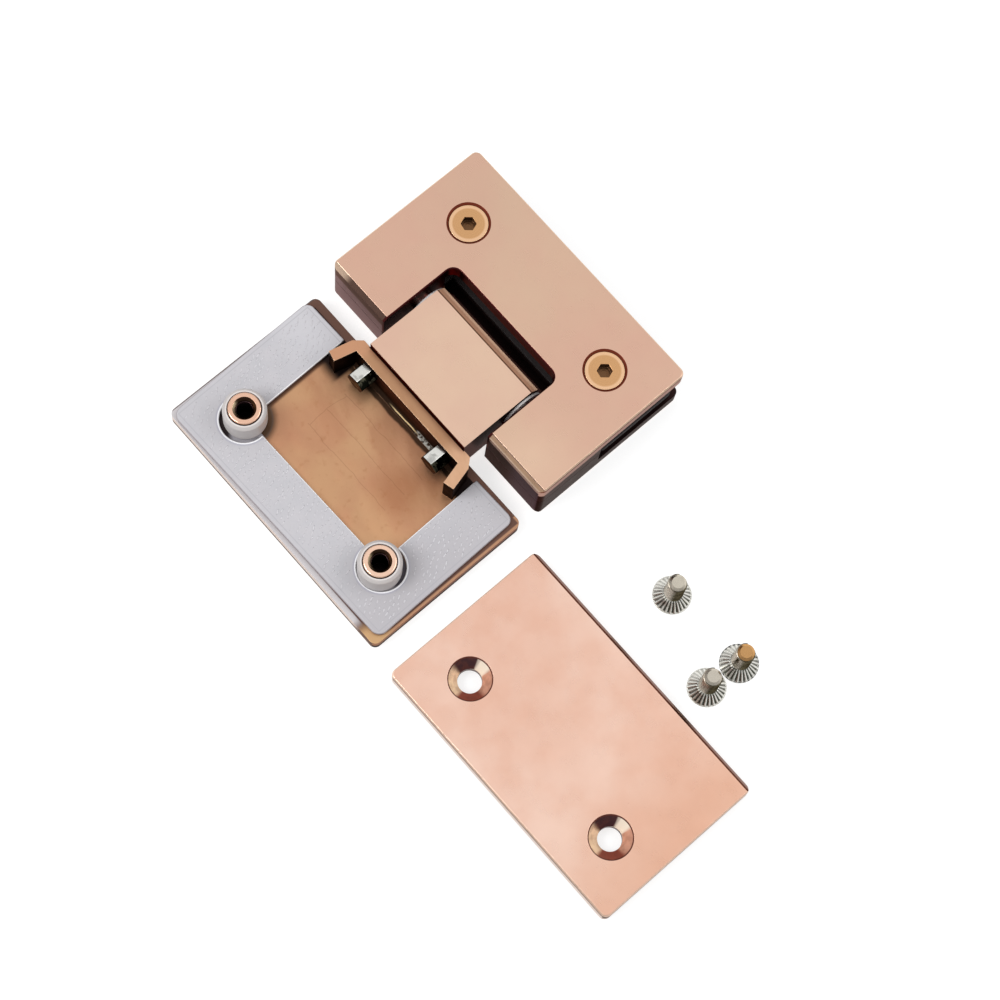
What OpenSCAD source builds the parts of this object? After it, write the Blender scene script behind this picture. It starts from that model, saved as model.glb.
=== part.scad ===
// Hinge that joins a glass door to a fixed glass panel in one plane.
// It lies opened for fitting: the door leaf is closed, the fixed leaf is open, and the
// cover plate and the cover screws of the fixed leaf lie beside it.
// +X runs towards the door leaf, +Y along the pivot and +Z away from the floor.
// The origin is the centre of the back face of the fixed leaf. Sizes are millimetres.

/* [Leaves] */
// Length of each leaf along the pivot
leaf_len = 90; // [84:1:110]
// Width of each leaf across the edge of its glass
leaf_w = 55; // [52:0.5:64]
// Gap between the two leaves
leaf_gap = 6; // [5:0.5:9]
// Thickness of every metal plate
plate_t = 5; // [4.5:0.25:6]
// Radius of the corners of the plates
plate_r = 2; // [1:0.5:3]
// Bevel round the outer faces of the plates
plate_bevel = 0.4; // [0.2:0.1:0.6]
// Wider bevel along the edge of each outer face that is next to the pivot
pivot_bevel = 1.4; // [0.8:0.1:1.8]

/* [Glass and gaskets] */
// Thickness of the glass that the leaves clamp
glass_t = 8; // [6:0.5:12]
// Thickness of each gasket
gasket_t = 1.5; // [1:0.25:2]
// Margin of metal that shows round a gasket
gasket_margin = 1; // [0.5:0.25:2]
// Radius of the gasket corners at the outer edge of a leaf
gasket_r = 3; // [2:0.5:5]
// Radius of the corners at the ends of the gasket arms
gasket_end_r = 2.5; // [1.5:0.5:4]
// Width of the back of the gaskets of the fixed leaf
gasket_back_w = 15; // [12:0.5:18]
// Clearance from a gasket to the walls that it goes round
gasket_gap = 1.3; // [0.6:0.1:1.6]
// Clearance of a gasket hole round a sleeve
gasket_hole_gap = 0.7; // [0.7:0.1:1]
// Length by which the gasket arms of the fixed leaf end before the leaf does
gasket_arm_short = 1.4; // [0:0.1:3]
// Shift across the leaf of the loosely laid gasket of the fixed leaf
gasket_shift_x = 0.2; // [0:0.1:0.3]
// Shift along the leaf of the loosely laid gasket of the fixed leaf
gasket_shift_y = 0.4; // [0:0.1:0.4]
// Turn of the loosely laid gasket of the fixed leaf, in degrees
gasket_turn = 1.2; // [0:0.1:1.2]

/* [Posts and sleeves] */
// Distance between the two posts of a leaf
post_spacing = 58.5; // [54:0.5:64]
// Distance of the fixed posts from the outer edge of the leaf
fixed_post_edge = 15.3; // [13:0.1:18]
// Distance of the door posts from the outer edge of the leaf
door_post_edge = 17; // [15:0.1:18]
// Radius of the posts
post_r = 4.8; // [4.4:0.1:5.2]
// Gap between a post and the plate over it
post_gap = 0.5; // [0.3:0.1:1]
// Radius of the spigot that holds a post in its plate
spigot_r = 3.5; // [3.3:0.1:4]
// Depth of the spigot in the plate
spigot_l = 3; // [2:0.25:3.5]
// Wall of the plastic sleeve round a post
sleeve_wall = 1.4; // [1.2:0.1:2]
// Clearance between sleeve and post
sleeve_gap = 0.2; // [0.1:0.05:0.4]
// Depth by which the foot of a sleeve is narrower than the rest
foot_relief = 0.5; // [0.5:0.05:0.8]
// Height by which a post stands out of its sleeve
sleeve_step = 0.5; // [0.3:0.1:1]

/* [Screws] */
// Radius of the thread of the screws
screw_r = 2.95; // [2.6:0.05:3.1]
// Length of a screw with its head
screw_l = 14.5; // [12:0.5:15]
// Radius of the countersunk heads
head_r = 5.7; // [5.2:0.1:6.2]
// Rim of the head above its cone
head_rim = 0.25; // [0.15:0.05:0.4]
// Width across flats of the hex sockets
socket_af = 4; // [3:0.5:4]
// Depth of the hex sockets
socket_d = 2.6; // [2:0.2:3]
// Turn in which the door screws were tightened
screw_turn = 19; // [0:1:59]
// Number of ribs under the head of a cover screw
rib_count = 26; // [18:2:30]
// Depth of those ribs
rib_depth = 0.35; // [0.2:0.05:0.5]
// Radius of the through holes for the screws
screw_hole_r = 3.5; // [3.3:0.1:3.8]
// Distance from the rim of a screw head to the rim of its countersink
sink_gap = 0.75; // [0.4:0.05:0.9]

/* [Pivot block] */
// Length of the block along the pivot
block_l = 40.4; // [38:0.4:44]
// Width of the block from its seat to its nose
block_w = 27.9; // [27:0.1:30]
// Height of each leaf face above the block's face
block_drop = 2.5; // [2:0.25:3]
// Bevel along the nose of the block
nose_bevel = 2.85; // [2:0.05:3.5]
// Depth of the block's seat in the fixed plate
block_seat = 0.8; // [0.5:0.1:1.2]
// Clearance at each end of that seat
seat_gap = 0.2; // [0.1:0.1:0.5]

/* [Upright wall] */
// Thickness of the wall that carries the block
wall_t = 3.8; // [3.2:0.1:4.4]
// Distance from the block's end to the inner corner of the wall
wall_past_block = 1.7; // [1.2:0.1:2.4]
// Gap between the top of the wall and the closed cover
wall_gap = 0.3; // [0.2:0.1:0.8]
// Length of the two legs of the wall
leg_l = 7; // [5:0.5:8]
// Thickness of the legs
leg_t = 3.4; // [2.8:0.1:3.8]
// Angle at which the legs spread
leg_spread = 14; // [6:1:18]
// Size of the fillet at the foot of the wall
foot_fillet = 1.2; // [0.6:0.1:1.6]
// Bevel of the wall's outer corners, measured along the wall
corner_cut = 1.6; // [1:0.1:2.2]
// Bevel of the wall's outer corners, measured along a leg
leg_cut = 2.7; // [1.5:0.1:3.5]

/* [Block bolts] */
// Radius of the bolts that hold the block
bolt_r = 1.95; // [1.7:0.05:2.1]
// Distance of the bolts from the ends of the block
bolt_edge = 4.2; // [3.4:0.1:5]
// Width across flats of the bolt heads
bolt_af = 6; // [5.6:0.1:6.6]
// Height of the bolt heads
bolt_head_h = 5.6; // [4:0.2:6]
// Depth of the bolts in the block
bolt_grip = 10; // [8:0.5:11]
// Turn of the bolt heads from flat side up
bolt_turn = 14; // [0:1:30]

/* [Pivot] */
// Radius of the pivot pin
pin_r = 4; // [3.6:0.1:4.2]
// Running clearance of the pin in the block
pin_gap = 0.05; // [0.02:0.01:0.1]
// Distance from the pin's axis to the nose of the block
pin_to_nose = 6; // [5.6:0.1:7]
// Length of each pin end in the door leaf
pin_grip = 10; // [8:0.5:12]
// Distance of the detent flats from the pin's axis, as a share of its radius
flat_share = 0.8875; // [0.86:0.0025:0.95]
// Distance of the clamping flats from the pin's axis, as a share of its radius
grip_share = 0.75; // [0.6:0.05:0.85]
// Radius of the pivot washers
washer_r = 6.9; // [6.8:0.1:8]
// Thickness of the pivot washers
washer_t = 0.8; // [0.8:0.1:1.5]

/* [Detent plungers] */
// Distance between the two plungers
plunger_spacing = 15; // [13:0.5:17]
// Radius of the plungers
plunger_r = 3; // [2.6:0.1:3.2]
// Length of the plungers
plunger_l = 9; // [8:0.5:10]
// Wall of the plunger round its spring
plunger_wall = 0.5; // [0.4:0.1:0.6]
// Depth of the spring's pocket in a plunger
pocket_d = 5; // [4:0.5:6]
// Clearance between a plunger and the round of the pin
plunger_gap = 0.1; // [0.05:0.05:0.3]
// Diameter of the spring wire
wire_d = 0.7; // [0.5:0.05:0.8]
// Number of turns of each spring
spring_turns = 8; // [6:1:10]

/* [Door leaf] */
// Gap between the block's end and the arm of the door leaf
arm_gap = 2.1; // [1.8:0.1:2.6]
// Gap between the block's nose and the notch of the front plate
nose_gap = 5.4; // [4.5:0.05:6]
// Gap between the block's nose and the shorter notch of the back plate
back_nose_gap = 3.6; // [3.3:0.05:6]
// Radius of the inner corners of the notch
notch_r = 3; // [2:0.5:4]
// Length of an arm's solid end past the pin's axis
pad_past_pin = 8.1; // [8:0.1:9]
// Gap between the two door plates at the pin
split_gap = 0.2; // [0.1:0.1:0.4]

/* [Loose cover] */
// Distance that the cover plate is narrower than its leaf
cover_short = 0.2; // [0.2:0.1:1.5]
// Distance that the closed cover stands past the outer edge of its leaf
cover_over = 0.9; // [0.2:0.1:1]
// Distance between the fixed leaf and the cover plate on the floor
cover_apart = 8.8; // [6:0.2:14]
// Sideways shift of the cover plate on the floor
cover_shift = -2.3; // [-6:0.05:2]

/* [Hidden] */
$fn = 72;

// Colours of the finishes
rose_gold = [0.85, 0.69, 0.60];
raw_copper = [0.74, 0.55, 0.40];
dark_copper = [0.45, 0.32, 0.27];
nickel = [0.80, 0.79, 0.76];
spring_steel = [0.55, 0.55, 0.56];
gasket_grey = [0.79, 0.78, 0.81];
gasket_dark = [0.16, 0.13, 0.13];
sleeve_grey = [0.80, 0.79, 0.80];
washer_white = [0.90, 0.90, 0.90];

// Length by which a cutter stands past the face that it opens
past = 0.5;
// Clearance of pieces that are pressed or screwed together
snug = 0.02;
// Clearance of flat pieces that run on each other, and of a screw on its seat
skim = 0.05;

// Heights over the floor in a closed leaf
glass_z = plate_t + gasket_t;
front_z = glass_z + glass_t + gasket_t;
stack_h = front_z + plate_t;
mid_z = stack_h / 2;
post_top_z = front_z - post_gap;
sleeve_top_z = post_top_z - sleeve_step;
wall_top_z = front_z - wall_gap;

// Places along X
fixed_x1 = leaf_w / 2;
block_x0 = fixed_x1 - block_seat;
block_x1 = block_x0 + block_w;
pin_x = block_x1 - pin_to_nose;
wall_x0 = block_x0 - wall_t;
door_x0 = fixed_x1 + leaf_gap;
door_x1 = door_x0 + leaf_w;
notch_x1 = block_x1 + nose_gap;
back_notch_x1 = block_x1 + back_nose_gap;
pad_x1 = pin_x + pad_past_pin;
fixed_post_x = fixed_post_edge - leaf_w / 2;
door_post_x = door_x1 - door_post_edge;

// Places along Y
post_y = post_spacing / 2;
block_y = block_l / 2;
arm_y = block_y + arm_gap;
bolt_y = block_y - bolt_edge;
plunger_y = plunger_spacing / 2;
leg_y = block_y + wall_past_block;
leg_out_y = leg_y + leg_l * sin(leg_spread) + leg_t * cos(leg_spread);
window_y = leg_out_y + gasket_gap;

// Posts, sleeves and screws
thread_depth = 0.45;
thread_r = screw_r - thread_depth;
thread_floor = 0.8;
mouth_bevel = 0.9;
post_bevel = 0.3;
sleeve_in_r = post_r + sleeve_gap;
sleeve_r = sleeve_in_r + sleeve_wall;
sleeve_bevel = 0.9;
foot_past_gasket = 0.1;
gasket_hole_r = sleeve_r + gasket_hole_gap;
cone_h = head_r - screw_r;
rib_inset = 0.05;
rib_r = head_r - rib_inset;
neck_r = screw_r * rib_r / (rib_r - rib_depth) + rib_inset;
tip_bevel = 0.8;
sink_r = head_r + sink_gap;
head_top_z = stack_h - sink_gap + head_rim + skim;

// Bolts of the block
bolt_tip = 0.5;

// Pin, plungers and springs
flat_x = pin_r * flat_share;
grip_z = pin_r * grip_share;
grip_lead = 1.7;
pin_bevel = 0.4;
plunger_tip = 0.4;
plunger_bore_r = plunger_r + pin_gap;
flat_past_plunger = 1.45;
flat_y = plunger_y + plunger_bore_r + flat_past_plunger;
plunger_x1 = pin_x - pin_r - plunger_gap;
plunger_x0 = plunger_x1 - plunger_l;
pocket_r = plunger_r - plunger_wall;
spring_side_gap = 0.3;
coil_closed = 1.08;
wire_sides = 8;
ring_steps = 14;
spring_r = pocket_r - spring_side_gap - wire_d / 2;
spring_x0 = block_x0 + skim;
spring_x1 = plunger_x0 + pocket_d - skim;

// Cover plate on the floor, and the spots of its screws from the corner between
// the cover plate and the end of the fixed leaf
cover_w = leaf_w - cover_short;
cover_x = cover_shift - cover_short / 2;
cover_y = -leaf_len - cover_apart;
cover_hole_x = fixed_post_edge + cover_over - cover_w / 2;
loose_spots = [[22.2, -42.8], [11.5, -69], [23.2, -69.9]];

// Outline with round corners, of radius rl on the left and rr on the right
module round_outline(x0, x1, half, rl, rr) {
    polygon([
        [x0 + rl, -half], [x1 - rr, -half], [x1, rr - half], [x1, half - rr],
        [x1 - rr, half], [x0 + rl, half], [x0, half - rl], [x0, rl - half]]);
    for (s = [-1, 1]) {
        translate([x0 + rl, s * (half - rl)]) circle(r = rl);
        translate([x1 - rr, s * (half - rr)]) circle(r = rr);
    }
}

// Bar of length l along X that bevels the edge on which it is centred
module bevel_bar(l, bevel) {
    rotate([45, 0, 0]) cube([l, bevel * sqrt(2), bevel * sqrt(2)], center = true);
}

// Waste that leaves a cone, and so carries the bevel round a corner
module bevel_corner() {
    h = plate_bevel + past / 2;
    translate([0, 0, -plate_bevel]) difference() {
        cube([plate_r + past, plate_r + past, h]);
        cylinder(r1 = plate_r, r2 = plate_r - h, h = h);
    }
}

// Plate from x0 to x1 with its outer face up, at height t, and a bevel round it that is
// wider on the pivot's side, which is 1 at x1 and -1 at x0
module plate(x0, x1, t, side) {
    half = leaf_len / 2;
    mid = (x0 + x1) / 2;
    reach = (x1 - x0) / 2;
    difference() {
        linear_extrude(t) round_outline(x0, x1, half, plate_r, plate_r);
        for (s = [-1, 1]) {
            translate([mid, s * half, t]) bevel_bar(2 * reach, plate_bevel);
            translate([mid + s * reach, 0, t]) rotate([0, 0, 90])
                bevel_bar(leaf_len, s == side ? pivot_bevel : plate_bevel);
        }
        for (a = [0, 1], b = [0, 1])
            translate([mid, 0, t]) mirror([a, 0, 0]) mirror([0, b, 0])
                translate([reach - plate_r, half - plate_r, 0]) bevel_corner();
    }
}

// Countersunk hole from the outer face at height z down through a plate
module sunk_hole(z) {
    depth = sink_r - screw_hole_r;
    translate([0, 0, z - plate_t - past]) cylinder(r = screw_hole_r, h = plate_t + 2 * past);
    translate([0, 0, z - depth]) cylinder(r1 = screw_hole_r, r2 = sink_r, h = depth);
    translate([0, 0, z]) cylinder(r = sink_r, h = past);
}

// Pocket in the inner face at height z that takes the spigot of a post
module spigot_pocket(z) {
    translate([0, 0, z - spigot_l - snug]) cylinder(r = spigot_r + snug, h = spigot_l + past);
}

// Both posts' places at one X
module at_posts(x) {
    for (s = [-1, 1]) translate([x, s * post_y, 0]) children();
}

// Outline of the upright wall for positive Y, from the pivot's middle to the leg's end
function wall_half() =
    let (
        along = [-cos(leg_spread), sin(leg_spread)],
        across = [sin(leg_spread), cos(leg_spread)] * leg_t,
        inner = [wall_x0, leg_y],
        run = (wall_t - leg_t * sin(leg_spread)) / cos(leg_spread),
        corner = inner + across - run * along)
    [
        [block_x0, 0], corner - [0, corner_cut], corner + leg_cut * along,
        inner + across + leg_l * along, inner + leg_l * along, inner, [wall_x0, 0]];

// Wall of the fixed leaf, with a leg at each end and a fillet at its foot
module upright_wall() {
    for (b = [0, 1]) mirror([0, b, 0])
        linear_extrude(wall_top_z) polygon(wall_half());
    translate([wall_x0, leg_y, plate_t]) rotate([90, 0, 0]) linear_extrude(2 * leg_y)
        polygon([[0, 0], [-foot_fillet, 0], [0, foot_fillet]]);
}

// Fixed leaf: plate and wall are one casting, with a seat for the block
module fixed_base_plate() {
    color(raw_copper) difference() {
        union() {
            translate([0, 0, plate_t]) mirror([0, 0, 1])
                plate(-fixed_x1, fixed_x1, plate_t, 1);
            upright_wall();
        }
        translate([block_x0, -block_y - seat_gap, -past])
            cube([block_seat + past, block_l + 2 * seat_gap, stack_h]);
        at_posts(fixed_post_x) spigot_pocket(plate_t);
        for (s = [-1, 1]) translate([wall_x0 - past, s * bolt_y, mid_z])
            rotate([0, 90, 0]) cylinder(r = bolt_r + skim, h = wall_t + 2 * past);
    }
}

// Gasket of a fixed leaf whose plate is w wide and whose posts are at post_x
module open_gasket(w, post_x) {
    x0 = gasket_margin - w / 2;
    x1 = w / 2 - gasket_margin - gasket_arm_short;
    difference() {
        linear_extrude(gasket_t)
            round_outline(x0, x1, leaf_len / 2 - gasket_margin, gasket_r, gasket_end_r);
        translate([x0 + gasket_back_w, -window_y, -past])
            cube([w, 2 * window_y, gasket_t + 2 * past]);
        at_posts(post_x) translate([0, 0, -past])
            cylinder(r = gasket_hole_r, h = gasket_t + 2 * past);
    }
}

module fixed_gasket() {
    color(gasket_grey) translate([gasket_shift_x, gasket_shift_y, plate_t])
        rotate([0, 0, gasket_turn]) open_gasket(leaf_w, fixed_post_x);
}

// Turned post with a spigot, seated in a plate and bored along its axis
module post(bore_r) {
    body_h = post_top_z - plate_t;
    floor_z = plate_t - thread_floor;
    difference() {
        union() {
            translate([0, 0, plate_t]) cylinder(r = post_r, h = body_h - post_bevel);
            translate([0, 0, post_top_z - post_bevel])
                cylinder(r1 = post_r, r2 = post_r - post_bevel, h = post_bevel);
            translate([0, 0, plate_t - spigot_l]) cylinder(r = spigot_r, h = spigot_l + past);
        }
        translate([0, 0, floor_z]) cylinder(r = bore_r, h = post_top_z);
        translate([0, 0, post_top_z - mouth_bevel])
            cylinder(r1 = thread_r, r2 = thread_r + mouth_bevel, h = mouth_bevel);
    }
}

// Plastic sleeve that keeps the glass off a post, with a narrower foot in the gasket's hole
module sleeve() {
    body_h = sleeve_top_z - plate_t;
    foot_h = gasket_t + foot_past_gasket;
    difference() {
        union() {
            translate([0, 0, plate_t])
                cylinder(r = sleeve_r - foot_relief, h = body_h - sleeve_bevel);
            translate([0, 0, plate_t + foot_h])
                cylinder(r = sleeve_r, h = body_h - foot_h - sleeve_bevel);
            translate([0, 0, sleeve_top_z - sleeve_bevel])
                cylinder(r1 = sleeve_r, r2 = sleeve_r - sleeve_bevel, h = sleeve_bevel);
        }
        translate([0, 0, plate_t - past]) cylinder(r = sleeve_in_r, h = body_h + 2 * past);
    }
}

// Posts and sleeves of one leaf, s is 1 for the upper and -1 for the lower one
module fixed_post(s) {
    color(raw_copper) translate([fixed_post_x, s * post_y, 0]) post(thread_r);
}

module fixed_sleeve(s) {
    color(sleeve_grey) translate([fixed_post_x, s * post_y, 0]) sleeve();
}

module door_post(s) {
    color(raw_copper) translate([door_post_x, s * post_y, 0]) post(screw_r + skim);
}

module door_sleeve(s) {
    color(sleeve_grey) translate([door_post_x, s * post_y, 0]) sleeve();
}

// Block that carries the pin and the plungers, bolted to the wall
module pivot_block() {
    z0 = block_drop;
    z1 = stack_h - block_drop;
    flat_x1 = block_x1 - nose_bevel;
    color(rose_gold) difference() {
        translate([0, block_y, 0]) rotate([90, 0, 0]) linear_extrude(block_l) polygon([
            [block_x0, z0], [flat_x1, z0], [block_x1, z0 + nose_bevel],
            [block_x1, z1 - nose_bevel], [flat_x1, z1], [block_x0, z1]]);
        translate([pin_x, block_y + past, mid_z]) rotate([90, 0, 0])
            cylinder(r = pin_r + pin_gap, h = block_l + 2 * past);
        for (s = [-1, 1]) {
            translate([block_x0 - past, s * plunger_y, mid_z]) rotate([0, 90, 0])
                cylinder(r = plunger_bore_r, h = pin_x - block_x0 + past);
            translate([block_x0 - past, s * bolt_y, mid_z]) rotate([0, 90, 0])
                cylinder(r = bolt_r + skim, h = bolt_grip + past);
        }
    }
}

// Hex bolt that holds the block to the wall
module block_bolt(s) {
    shank = wall_t + bolt_grip - bolt_tip;
    color(nickel) translate([wall_x0, s * bolt_y, mid_z]) rotate([0, 90, 0]) union() {
        translate([0, 0, -bolt_head_h]) rotate([0, 0, bolt_turn])
            cylinder(r = bolt_af / 2 / cos(30), h = bolt_head_h, $fn = 6);
        cylinder(r = bolt_r, h = shank);
    }
}

// Cup-shaped plunger that a spring presses on a flat of the pin
module plunger(s) {
    body_h = plunger_l - plunger_tip;
    color(nickel) translate([plunger_x0, s * plunger_y, mid_z]) rotate([0, 90, 0])
        difference() {
            union() {
                cylinder(r = plunger_r, h = body_h);
                translate([0, 0, body_h])
                    cylinder(r1 = plunger_r, r2 = plunger_r - plunger_tip, h = plunger_tip);
            }
            translate([0, 0, -past]) cylinder(r = pocket_r, h = pocket_d + past);
        }
}

// Height of the wire's centre after a share of the turns, with one closed turn at each end
function coil_z(turn) =
    let (
        room = spring_x1 - spring_x0 - wire_d,
        closed = wire_d * coil_closed,
        pitch = (room - 2 * closed) / (spring_turns - 2))
    turn < 1 ? closed * turn
        : turn > spring_turns - 1 ? room - closed * (spring_turns - turn)
        : closed + pitch * (turn - 1);

// Spring between the wall and the floor of a plunger's pocket
module plunger_spring(s) {
    sides = wire_sides;
    steps = ring_steps;
    rings = spring_turns * steps;
    points = [
        for (i = [0:rings], j = [0:sides - 1])
            let (
                turn = 360 * i / steps,
                around = 360 * j / sides,
                out = spring_r + wire_d / 2 * cos(around))
            [out * cos(turn), out * sin(turn),
                wire_d / 2 + coil_z(i / steps) + wire_d / 2 * sin(around)]];
    faces = concat(
        [[for (j = [0:sides - 1]) j]],
        [for (i = [0:rings - 1], j = [0:sides - 1])
            let (k = (j + 1) % sides)
            [i * sides + j, (i + 1) * sides + j, (i + 1) * sides + k, i * sides + k]],
        [[for (j = [sides - 1:-1:0]) rings * sides + j]]);
    color(spring_steel) translate([spring_x0, s * plunger_y, mid_z]) rotate([0, 90, 0])
        polyhedron(points = points, faces = faces);
}

// Washer on the pin, next to the block
module pivot_washer(s) {
    color(washer_white) translate([pin_x, s * (block_y + skim + washer_t / 2), mid_z])
        rotate([90, 0, 0]) difference() {
            cylinder(r = washer_r, h = washer_t, center = true);
            cylinder(r = pin_r + 2 * pin_gap, h = washer_t + past, center = true);
        }
}

// Solid box given by its centre along X and Z on the pin's axis
module on_axis(w, y0, y1, h, dx, dz) {
    translate([pin_x + dx - w / 2, y0, mid_z + dz - h / 2]) cube([w, y1 - y0, h]);
}

// Pin with four detent flats in the middle and a pair of clamping flats at each end
module pivot_pin() {
    end_y = arm_y + pin_grip;
    wide = 3 * pin_r;
    color(nickel) difference() {
        translate([pin_x, 0, mid_z]) rotate([90, 0, 0]) union() {
            cylinder(r = pin_r, h = 2 * (end_y - pin_bevel), center = true);
            cylinder(r = pin_r - pin_bevel, h = 2 * end_y, center = true);
        }
        for (s = [-1, 1]) {
            on_axis(wide, -flat_y, flat_y, pin_r, 0, s * (flat_x + pin_r / 2));
            on_axis(pin_r, -flat_y, flat_y, wide, s * (flat_x + pin_r / 2), 0);
            for (b = [0, 1]) mirror([0, b, 0])
                on_axis(wide, arm_y + grip_lead, end_y + past, pin_r,
                    0, s * (grip_z + pin_r / 2));
        }
    }
}

// Notch of the door leaf up to x1, cut through a plate whose outer face is up at height t
module notch(t, x1) {
    corner_x = x1 - notch_r;
    corner_y = arm_y - notch_r;
    h = plate_bevel + past / 2;
    translate([0, 0, -past]) linear_extrude(t + 2 * past)
        round_outline(door_x0 - 2 * notch_r, x1, arm_y, notch_r / 2, notch_r);
    translate([x1, 0, t]) rotate([0, 0, 90]) bevel_bar(2 * corner_y, plate_bevel);
    for (s = [-1, 1]) {
        translate([(door_x0 - past + corner_x) / 2, s * arm_y, t])
            bevel_bar(corner_x - door_x0 + past, plate_bevel);
        translate([corner_x, s * corner_y, t - plate_bevel])
            cylinder(r1 = notch_r, r2 = notch_r + h, h = h);
    }
}

// Seat of the pin in both door plates, with the clamping flats
module pin_seat() {
    lead_y = arm_y + grip_lead - skim;
    end_y = arm_y + pin_grip + skim;
    half = grip_z + skim;
    for (b = [0, 1]) mirror([0, b, 0]) {
        translate([pin_x, lead_y, mid_z]) rotate([90, 0, 0])
            cylinder(r = pin_r + skim, h = grip_lead + past);
        intersection() {
            translate([pin_x, end_y, mid_z]) rotate([90, 0, 0])
                cylinder(r = pin_r + skim, h = pin_grip + past);
            on_axis(3 * pin_r, lead_y - past, end_y + past, 2 * half, 0, 0);
        }
    }
}

// Half of the door leaf with its outer face up: plate, notch to x1 and the solid arm ends
module door_half(x1) {
    pad_h = mid_z - plate_t - split_gap / 2;
    difference() {
        union() {
            plate(door_x0, door_x1, plate_t, -1);
            translate([0, 0, -pad_h]) intersection() {
                linear_extrude(pad_h + past)
                    round_outline(door_x0, door_x1, leaf_len / 2, plate_r, plate_r);
                translate([door_x0, -leaf_len / 2, 0])
                    cube([pad_x1 - door_x0, leaf_len, pad_h + past]);
            }
        }
        translate([0, 0, -pad_h]) notch(pad_h + plate_t, x1);
    }
}

module door_front_plate() {
    color(rose_gold) difference() {
        translate([0, 0, front_z]) door_half(notch_x1);
        pin_seat();
        at_posts(door_post_x) sunk_hole(stack_h);
    }
}

module door_back_plate() {
    color(dark_copper) difference() {
        translate([0, 0, plate_t]) mirror([0, 0, 1]) door_half(back_notch_x1);
        pin_seat();
        at_posts(door_post_x) spigot_pocket(plate_t);
    }
}

// Gasket of a door plate, from the pin's pads round the notch
module door_gasket() {
    x0 = pad_x1 + gasket_margin;
    x1 = door_x1 - gasket_margin;
    difference() {
        linear_extrude(gasket_t)
            round_outline(x0, x1, leaf_len / 2 - gasket_margin, gasket_end_r, gasket_r);
        translate([x0 - past, -arm_y - gasket_gap, -past])
            cube([notch_x1 + gasket_gap - x0 + past, 2 * (arm_y + gasket_gap),
                gasket_t + 2 * past]);
        at_posts(door_post_x) translate([0, 0, -past])
            cylinder(r = gasket_hole_r, h = gasket_t + 2 * past);
    }
}

module door_back_gasket() {
    color(gasket_dark) translate([0, 0, plate_t]) door_gasket();
}

module door_front_gasket() {
    color(gasket_dark) translate([0, 0, front_z - gasket_t]) door_gasket();
}

// Star outline of the ribs at the widest part of a screw head
function rib_star() = [
    for (i = [0:2 * rib_count - 1])
        (i % 2 == 0 ? rib_r : rib_r - rib_depth)
            * [cos(180 * i / rib_count), sin(180 * i / rib_count)]];

// Cone of a head, pointing down from the origin
module head_cone(ribbed) {
    mirror([0, 0, 1]) {
        if (ribbed) linear_extrude(head_r - neck_r, scale = neck_r / rib_r) polygon(rib_star());
        else cylinder(r1 = head_r, r2 = screw_r, h = cone_h);
    }
}

// Countersunk screw with its head's face at the origin and its shank down
module screw(ribbed) {
    difference() {
        union() {
            translate([0, 0, -head_rim]) cylinder(r = head_r, h = head_rim);
            translate([0, 0, -head_rim]) head_cone(ribbed);
            translate([0, 0, tip_bevel - screw_l])
                cylinder(r = screw_r, h = screw_l - tip_bevel - head_rim);
            translate([0, 0, -screw_l])
                cylinder(r1 = screw_r - tip_bevel, r2 = screw_r, h = tip_bevel);
        }
        translate([0, 0, -socket_d])
            cylinder(r = socket_af / 2 / cos(30), h = socket_d + past, $fn = 6);
    }
}

module door_screw(s) {
    color(rose_gold) translate([door_post_x, s * post_y, head_top_z])
        rotate([0, 0, screw_turn]) screw(false);
}

// Loose cover screw, standing on its head
module cover_screw(i) {
    spot = loose_spots[i];
    color(nickel) translate([cover_x + cover_w / 2 + spot[0], spot[1] - leaf_len / 2, 0])
        rotate([180, 0, 0]) screw(true);
}

module cover_plate() {
    color(rose_gold) translate([cover_x, cover_y, gasket_t]) difference() {
        plate(-cover_w / 2, cover_w / 2, plate_t, 1);
        at_posts(cover_hole_x) sunk_hole(plate_t);
    }
}

module cover_gasket() {
    color(gasket_grey) translate([cover_x, cover_y, 0]) open_gasket(cover_w, cover_hole_x);
}

fixed_base_plate();
fixed_gasket();
fixed_post(1);  // fixed_post_upper
fixed_post(-1);  // fixed_post_lower
fixed_sleeve(1);  // fixed_sleeve_upper
fixed_sleeve(-1);  // fixed_sleeve_lower
pivot_block();
block_bolt(1);  // block_bolt_upper
block_bolt(-1);  // block_bolt_lower
plunger(1);  // plunger_upper
plunger(-1);  // plunger_lower
plunger_spring(1);  // plunger_spring_upper
plunger_spring(-1);  // plunger_spring_lower
pivot_washer(1);  // pivot_washer_upper
pivot_washer(-1);  // pivot_washer_lower
pivot_pin();
door_back_plate();
door_front_plate();
door_back_gasket();
door_front_gasket();
door_post(1);  // door_post_upper
door_post(-1);  // door_post_lower
door_sleeve(1);  // door_sleeve_upper
door_sleeve(-1);  // door_sleeve_lower
door_screw(1);  // door_screw_upper
door_screw(-1);  // door_screw_lower
cover_plate();
cover_gasket();
cover_screw(0);  // cover_screw_1
cover_screw(1);  // cover_screw_2
cover_screw(2);  // cover_screw_3
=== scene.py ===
# Looks of an opened glass door hinge, made around its solids. Places and sizes are
# millimetres, and become metres through MM. The studio's are metres.

import math

import bmesh
import bpy
from mathutils import Matrix, Vector


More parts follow.
